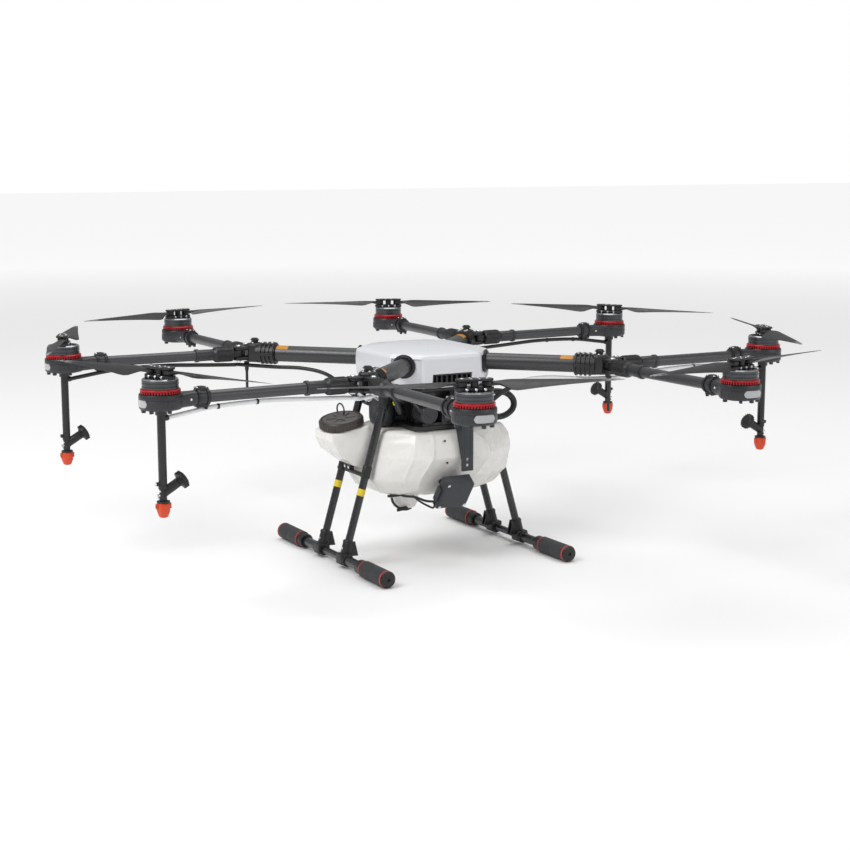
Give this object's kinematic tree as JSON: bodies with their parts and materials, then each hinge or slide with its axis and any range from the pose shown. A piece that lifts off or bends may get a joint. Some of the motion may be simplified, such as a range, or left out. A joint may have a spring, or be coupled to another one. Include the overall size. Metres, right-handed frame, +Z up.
{
  "type": "octocopter crop sprayer drone",
  "caption": "Multi-rotor crop sprayer with folding arms and blades, a translucent tank with a filler cap, spray drops and tube skids.",
  "frame": {"origin": "on the ground, under the centre of the rotor circle", "axes": "+Z up, +X forward towards the vent grille and the forward sensor, +Y to the left of the machine, across the skids"},
  "size_m": [1.5712, 1.6468, 0.48],
  "materials": {
    "boom_carbon": "satin carbon tube",
    "yoke_plastic": "glass-filled nylon",
    "arm_housing": "satin moulded plastic and carbon tube",
    "motor_metal": "grey anodised",
    "blade_composite": "satin carbon-filled nylon",
    "spray_plastic": "black moulded plastic",
    "hose_white": "translucent white hose",
    "hose_black": "black hose",
    "aerial_plastic": "black moulded plastic",
    "gear_carbon": "carbon tube with foam grips",
    "centre_frame": "black moulded plastic",
    "top_cover": "satin white paint",
    "vent_grille": "black moulded plastic",
    "tank": "translucent natural polyethylene",
    "tank_cap": "black-brown moulded plastic",
    "pump_unit": "grey moulded plastic",
    "radar": "dark grey moulded plastic",
    "front_bracket": "dark grey powder coat"
  },
  "bodies": {
    "airframe": {"centre_frame": "centre_frame", "top_cover": "top_cover", "vent_grille": "vent_grille", "tank": "tank", "pump_unit": "pump_unit", "radar": "radar", "front_bracket": "front_bracket", "landing_gear_left": "gear_carbon", "landing_gear_right": "gear_carbon", "boom_front_left": "boom_carbon", "boom_rear_left": "boom_carbon", "boom_rear_right": "boom_carbon", "boom_front_right": "boom_carbon", "yoke_front_left": "yoke_plastic", "yoke_rear_left": "yoke_plastic", "yoke_rear_right": "yoke_plastic", "yoke_front_right": "yoke_plastic", "feed_hose_front_left": "hose_white", "feed_hose_rear_left": "hose_black", "feed_hose_rear_right": "hose_black", "feed_hose_front_right": "hose_white", "aerial_front_left": "aerial_plastic", "aerial_rear_right": "aerial_plastic"},
    "arm_assembly_1": {"arm_1": "arm_housing"},
    "rotor_assembly_1": {"rotor_1": "motor_metal"},
    "blade_1a": {"blade_1a": "blade_composite"},
    "blade_1b": {"blade_1b": "blade_composite"},
    "arm_assembly_2": {"arm_2": "arm_housing", "spray_drop_2": "spray_plastic"},
    "rotor_assembly_2": {"rotor_2": "motor_metal"},
    "blade_2a": {"blade_2a": "blade_composite"},
    "blade_2b": {"blade_2b": "blade_composite"},
    "arm_assembly_3": {"arm_3": "arm_housing", "spray_drop_3": "spray_plastic"},
    "rotor_assembly_3": {"rotor_3": "motor_metal"},
    "blade_3a": {"blade_3a": "blade_composite"},
    "blade_3b": {"blade_3b": "blade_composite"},
    "arm_assembly_4": {"arm_4": "arm_housing"},
    "rotor_assembly_4": {"rotor_4": "motor_metal"},
    "blade_4a": {"blade_4a": "blade_composite"},
    "blade_4b": {"blade_4b": "blade_composite"},
    "arm_assembly_5": {"arm_5": "arm_housing"},
    "rotor_assembly_5": {"rotor_5": "motor_metal"},
    "blade_5a": {"blade_5a": "blade_composite"},
    "blade_5b": {"blade_5b": "blade_composite"},
    "arm_assembly_6": {"arm_6": "arm_housing", "spray_drop_6": "spray_plastic"},
    "rotor_assembly_6": {"rotor_6": "motor_metal"},
    "blade_6a": {"blade_6a": "blade_composite"},
    "blade_6b": {"blade_6b": "blade_composite"},
    "arm_assembly_7": {"arm_7": "arm_housing", "spray_drop_7": "spray_plastic"},
    "rotor_assembly_7": {"rotor_7": "motor_metal"},
    "blade_7a": {"blade_7a": "blade_composite"},
    "blade_7b": {"blade_7b": "blade_composite"},
    "arm_assembly_8": {"arm_8": "arm_housing"},
    "rotor_assembly_8": {"rotor_8": "motor_metal"},
    "blade_8a": {"blade_8a": "blade_composite"},
    "blade_8b": {"blade_8b": "blade_composite"},
    "filler_cap": {"tank_cap": "tank_cap"}
  },
  "joints": [
    {"name": "arm_fold_1", "type": "hinge", "parent": "airframe", "child": "arm_assembly_1", "pos_m": [0.30577, 0.27677, 0.4185], "axis": [0, 0, 1], "range_deg": [-90, 0]},
    {"name": "arm_fold_2", "type": "hinge", "parent": "airframe", "child": "arm_assembly_2", "pos_m": [0.27677, 0.30577, 0.4185], "axis": [0, 0, 1], "range_deg": [0, 90]},
    {"name": "arm_fold_3", "type": "hinge", "parent": "airframe", "child": "arm_assembly_3", "pos_m": [-0.27677, 0.30577, 0.4185], "axis": [0, 0, 1], "range_deg": [-90, 0]},
    {"name": "arm_fold_4", "type": "hinge", "parent": "airframe", "child": "arm_assembly_4", "pos_m": [-0.30577, 0.27677, 0.4185], "axis": [0, 0, 1], "range_deg": [0, 90]},
    {"name": "arm_fold_5", "type": "hinge", "parent": "airframe", "child": "arm_assembly_5", "pos_m": [-0.30577, -0.27677, 0.4185], "axis": [0, 0, 1], "range_deg": [-90, 0]},
    {"name": "arm_fold_6", "type": "hinge", "parent": "airframe", "child": "arm_assembly_6", "pos_m": [-0.27677, -0.30577, 0.4185], "axis": [0, 0, 1], "range_deg": [0, 90]},
    {"name": "arm_fold_7", "type": "hinge", "parent": "airframe", "child": "arm_assembly_7", "pos_m": [0.27677, -0.30577, 0.4185], "axis": [0, 0, 1], "range_deg": [-90, 0]},
    {"name": "arm_fold_8", "type": "hinge", "parent": "airframe", "child": "arm_assembly_8", "pos_m": [0.30577, -0.27677, 0.4185], "axis": [0, 0, 1], "range_deg": [0, 90]},
    {"name": "filler_cap_twist", "type": "hinge", "parent": "airframe", "child": "filler_cap", "pos_m": [0, -0.1926, 0.2898], "axis": [0.0872, -0.173, 0.9811], "range_deg": [0, 360]},
    {"name": "rotor_spin_1", "type": "hinge", "parent": "arm_assembly_1", "child": "rotor_assembly_1", "pos_m": [0.69291, 0.28701, 0.445], "axis": [0, 0, 1], "continuous": true},
    {"name": "rotor_spin_2", "type": "hinge", "parent": "arm_assembly_2", "child": "rotor_assembly_2", "pos_m": [0.28701, 0.69291, 0.445], "axis": [0, 0, 1], "continuous": true},
    {"name": "rotor_spin_3", "type": "hinge", "parent": "arm_assembly_3", "child": "rotor_assembly_3", "pos_m": [-0.28701, 0.69291, 0.445], "axis": [0, 0, 1], "continuous": true},
    {"name": "rotor_spin_4", "type": "hinge", "parent": "arm_assembly_4", "child": "rotor_assembly_4", "pos_m": [-0.69291, 0.28701, 0.445], "axis": [0, 0, 1], "continuous": true},
    {"name": "rotor_spin_5", "type": "hinge", "parent": "arm_assembly_5", "child": "rotor_assembly_5", "pos_m": [-0.69291, -0.28701, 0.445], "axis": [0, 0, 1], "continuous": true},
    {"name": "rotor_spin_6", "type": "hinge", "parent": "arm_assembly_6", "child": "rotor_assembly_6", "pos_m": [-0.28701, -0.69291, 0.445], "axis": [0, 0, 1], "continuous": true},
    {"name": "rotor_spin_7", "type": "hinge", "parent": "arm_assembly_7", "child": "rotor_assembly_7", "pos_m": [0.28701, -0.69291, 0.445], "axis": [0, 0, 1], "continuous": true},
    {"name": "rotor_spin_8", "type": "hinge", "parent": "arm_assembly_8", "child": "rotor_assembly_8", "pos_m": [0.69291, -0.28701, 0.445], "axis": [0, 0, 1], "continuous": true},
    {"name": "blade_fold_1a", "type": "hinge", "parent": "rotor_assembly_1", "child": "blade_1a", "pos_m": [0.68759, 0.30836, 0.47], "axis": [0, 0, 1], "range_deg": [-85, 85]},
    {"name": "blade_fold_1b", "type": "hinge", "parent": "rotor_assembly_1", "child": "blade_1b", "pos_m": [0.69823, 0.26567, 0.47], "axis": [0, 0, 1], "range_deg": [-85, 85]},
    {"name": "blade_fold_2a", "type": "hinge", "parent": "rotor_assembly_2", "child": "blade_2a", "pos_m": [0.26692, 0.70186, 0.47], "axis": [0, 0, 1], "range_deg": [-85, 85]},
    {"name": "blade_fold_2b", "type": "hinge", "parent": "rotor_assembly_2", "child": "blade_2b", "pos_m": [0.30711, 0.68396, 0.47], "axis": [0, 0, 1], "range_deg": [-85, 85]},
    {"name": "blade_fold_3a", "type": "hinge", "parent": "rotor_assembly_3", "child": "blade_3a", "pos_m": [-0.26856, 0.70489, 0.47], "axis": [0, 0, 1], "range_deg": [-85, 85]},
    {"name": "blade_fold_3b", "type": "hinge", "parent": "rotor_assembly_3", "child": "blade_3b", "pos_m": [-0.30546, 0.68093, 0.47], "axis": [0, 0, 1], "range_deg": [-85, 85]},
    {"name": "blade_fold_4a", "type": "hinge", "parent": "rotor_assembly_4", "child": "blade_4a", "pos_m": [-0.68431, 0.30726, 0.47], "axis": [0, 0, 1], "range_deg": [-85, 85]},
    {"name": "blade_fold_4b", "type": "hinge", "parent": "rotor_assembly_4", "child": "blade_4b", "pos_m": [-0.70151, 0.26676, 0.47], "axis": [0, 0, 1], "range_deg": [-85, 85]},
    {"name": "blade_fold_5a", "type": "hinge", "parent": "rotor_assembly_5", "child": "blade_5a", "pos_m": [-0.69897, -0.26587, 0.47], "axis": [0, 0, 1], "range_deg": [-85, 85]},
    {"name": "blade_fold_5b", "type": "hinge", "parent": "rotor_assembly_5", "child": "blade_5b", "pos_m": [-0.68685, -0.30816, 0.47], "axis": [0, 0, 1], "range_deg": [-85, 85]},
    {"name": "blade_fold_6a", "type": "hinge", "parent": "rotor_assembly_6", "child": "blade_6a", "pos_m": [-0.30726, -0.68431, 0.47], "axis": [0, 0, 1], "range_deg": [-85, 85]},
    {"name": "blade_fold_6b", "type": "hinge", "parent": "rotor_assembly_6", "child": "blade_6b", "pos_m": [-0.26676, -0.70151, 0.47], "axis": [0, 0, 1], "range_deg": [-85, 85]},
    {"name": "blade_fold_7a", "type": "hinge", "parent": "rotor_assembly_7", "child": "blade_7a", "pos_m": [0.30711, -0.68396, 0.47], "axis": [0, 0, 1], "range_deg": [-85, 85]},
    {"name": "blade_fold_7b", "type": "hinge", "parent": "rotor_assembly_7", "child": "blade_7b", "pos_m": [0.26692, -0.70186, 0.47], "axis": [0, 0, 1], "range_deg": [-85, 85]},
    {"name": "blade_fold_8a", "type": "hinge", "parent": "rotor_assembly_8", "child": "blade_8a", "pos_m": [0.69897, -0.26587, 0.47], "axis": [0, 0, 1], "range_deg": [-85, 85]},
    {"name": "blade_fold_8b", "type": "hinge", "parent": "rotor_assembly_8", "child": "blade_8b", "pos_m": [0.68685, -0.30816, 0.47], "axis": [0, 0, 1], "range_deg": [-85, 85]}
  ]
}
